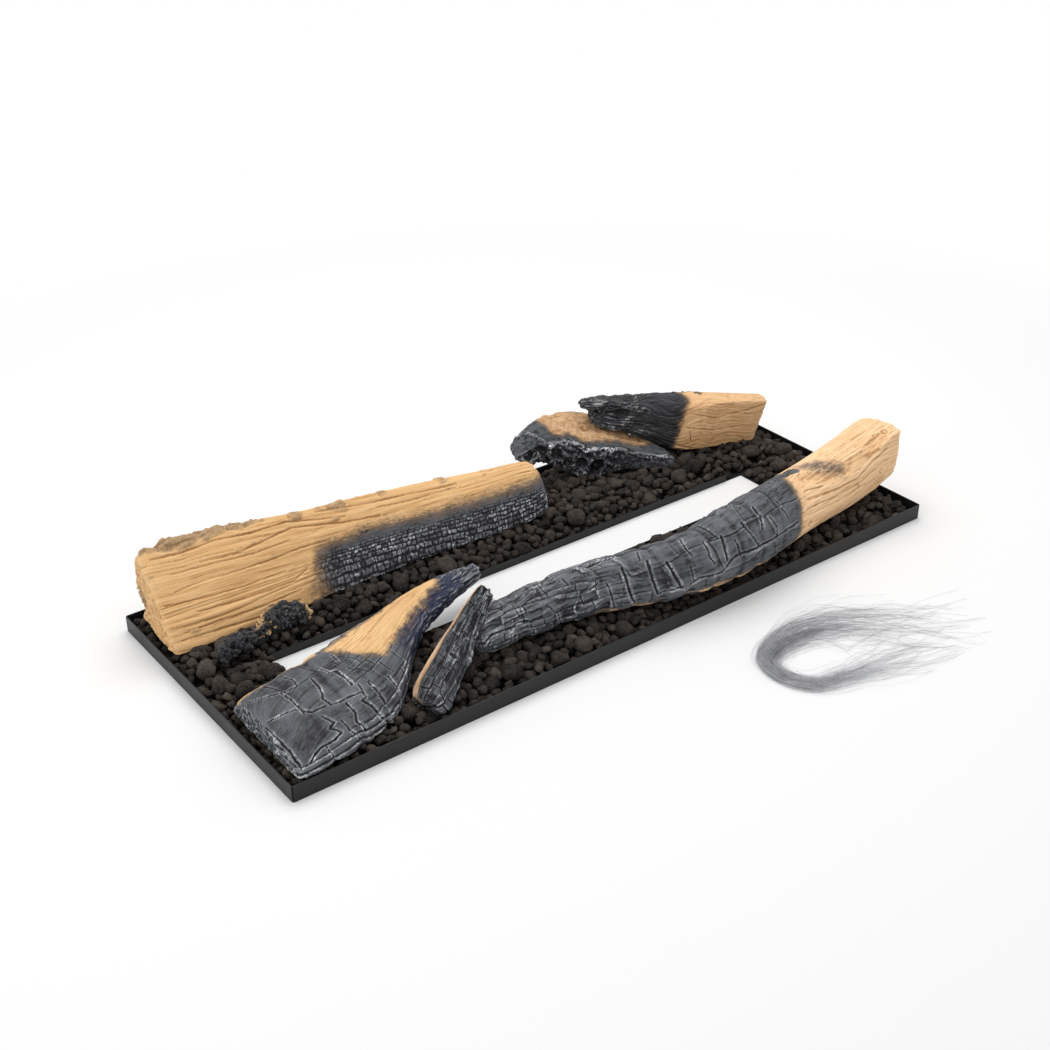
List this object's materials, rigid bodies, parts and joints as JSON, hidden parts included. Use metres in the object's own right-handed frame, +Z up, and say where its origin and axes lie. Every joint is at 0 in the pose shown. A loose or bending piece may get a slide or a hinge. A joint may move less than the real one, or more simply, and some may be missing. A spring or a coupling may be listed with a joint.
{
  "type": "decorative log set",
  "caption": "Loose-laid imitation charred logs and lava stones on a shallow black steel tray with a long burner slot, and a tuft of glow wool beside it.",
  "frame": {"origin": "under the middle of the tray's front rail, on the flat underside that the tray rests on", "axes": "+X along the tray to its right end as seen from the front, +Y from the front rail to the back rail, +Z up"},
  "size_m": [1, 0.6459, 0.1265],
  "materials": {
    "tray_black": "satin black heat-resistant paint",
    "lava_brown": "rough, pitted dark brown lava",
    "split_wood": "matt tan split-wood grain, charred dark grey over part of it",
    "charcoal": "matt dark blue-grey char with cracks and pale worn crests, tan patches",
    "wool_grey": "loose fine grey mineral fibres"
  },
  "bodies": {
    "tray_and_lava": {"tray": "tray_black", "lava_bed_front": "lava_brown", "lava_bed_back": "lava_brown", "lava_bed_left": "lava_brown", "lava_bed_right": "lava_brown", "lava_stone_01": "lava_brown", "lava_stone_02": "lava_brown", "lava_stone_03": "lava_brown", "lava_stone_04": "lava_brown", "lava_stone_05": "lava_brown", "lava_stone_06": "lava_brown", "lava_stone_07": "lava_brown", "lava_stone_08": "lava_brown", "lava_stone_09": "lava_brown", "lava_stone_10": "lava_brown", "lava_stone_11": "lava_brown", "lava_stone_12": "lava_brown", "lava_stone_13": "lava_brown", "lava_stone_14": "lava_brown", "lava_stone_15": "lava_brown", "lava_stone_16": "lava_brown", "lava_stone_17": "lava_brown", "lava_stone_18": "lava_brown", "lava_stone_19": "lava_brown", "lava_stone_20": "lava_brown", "lava_stone_21": "lava_brown", "lava_stone_22": "lava_brown", "lava_stone_23": "lava_brown", "lava_stone_24": "lava_brown", "lava_stone_25": "lava_brown", "lava_stone_26": "lava_brown", "lava_stone_27": "lava_brown", "lava_stone_28": "lava_brown", "lava_stone_29": "lava_brown", "lava_stone_30": "lava_brown", "lava_stone_31": "lava_brown", "lava_stone_32": "lava_brown", "lava_stone_33": "lava_brown", "lava_stone_34": "lava_brown"},
    "back_left_log": {"log_back_left": "split_wood"},
    "slab": {"bark_slab": "charcoal"},
    "back_right_log": {"log_back_right": "split_wood"},
    "front_right_log": {"log_front_right": "charcoal"},
    "stick": {"leaning_stick": "charcoal"},
    "front_left_log": {"log_front_left": "charcoal"},
    "twig": {"charred_twig": "charcoal"},
    "wool": {"glow_wool": "wool_grey"}
  },
  "joints": [
    {"name": "lift_back_left_log", "type": "slide", "parent": "tray_and_lava", "child": "back_left_log", "axis": [0, 0, 1], "range_m": [0, 0.15]},
    {"name": "lift_slab", "type": "slide", "parent": "back_left_log", "child": "slab", "axis": [0, 0, 1], "range_m": [0, 0.15]},
    {"name": "lift_back_right_log", "type": "slide", "parent": "slab", "child": "back_right_log", "axis": [0, 0, 1], "range_m": [0, 0.15]},
    {"name": "lift_front_right_log", "type": "slide", "parent": "tray_and_lava", "child": "front_right_log", "axis": [0, 0, 1], "range_m": [0, 0.15]},
    {"name": "lift_stick", "type": "slide", "parent": "front_right_log", "child": "stick", "axis": [0, 0, 1], "range_m": [0, 0.15]},
    {"name": "lift_front_left_log", "type": "slide", "parent": "tray_and_lava", "child": "front_left_log", "axis": [0, 0, 1], "range_m": [0, 0.15]},
    {"name": "lift_twig", "type": "slide", "parent": "tray_and_lava", "child": "twig", "axis": [0, 0, 1], "range_m": [0, 0.15]},
    {"name": "lift_wool", "type": "slide", "parent": "tray_and_lava", "child": "wool", "axis": [0, 0, 1], "range_m": [0, 0.15]}
  ]
}
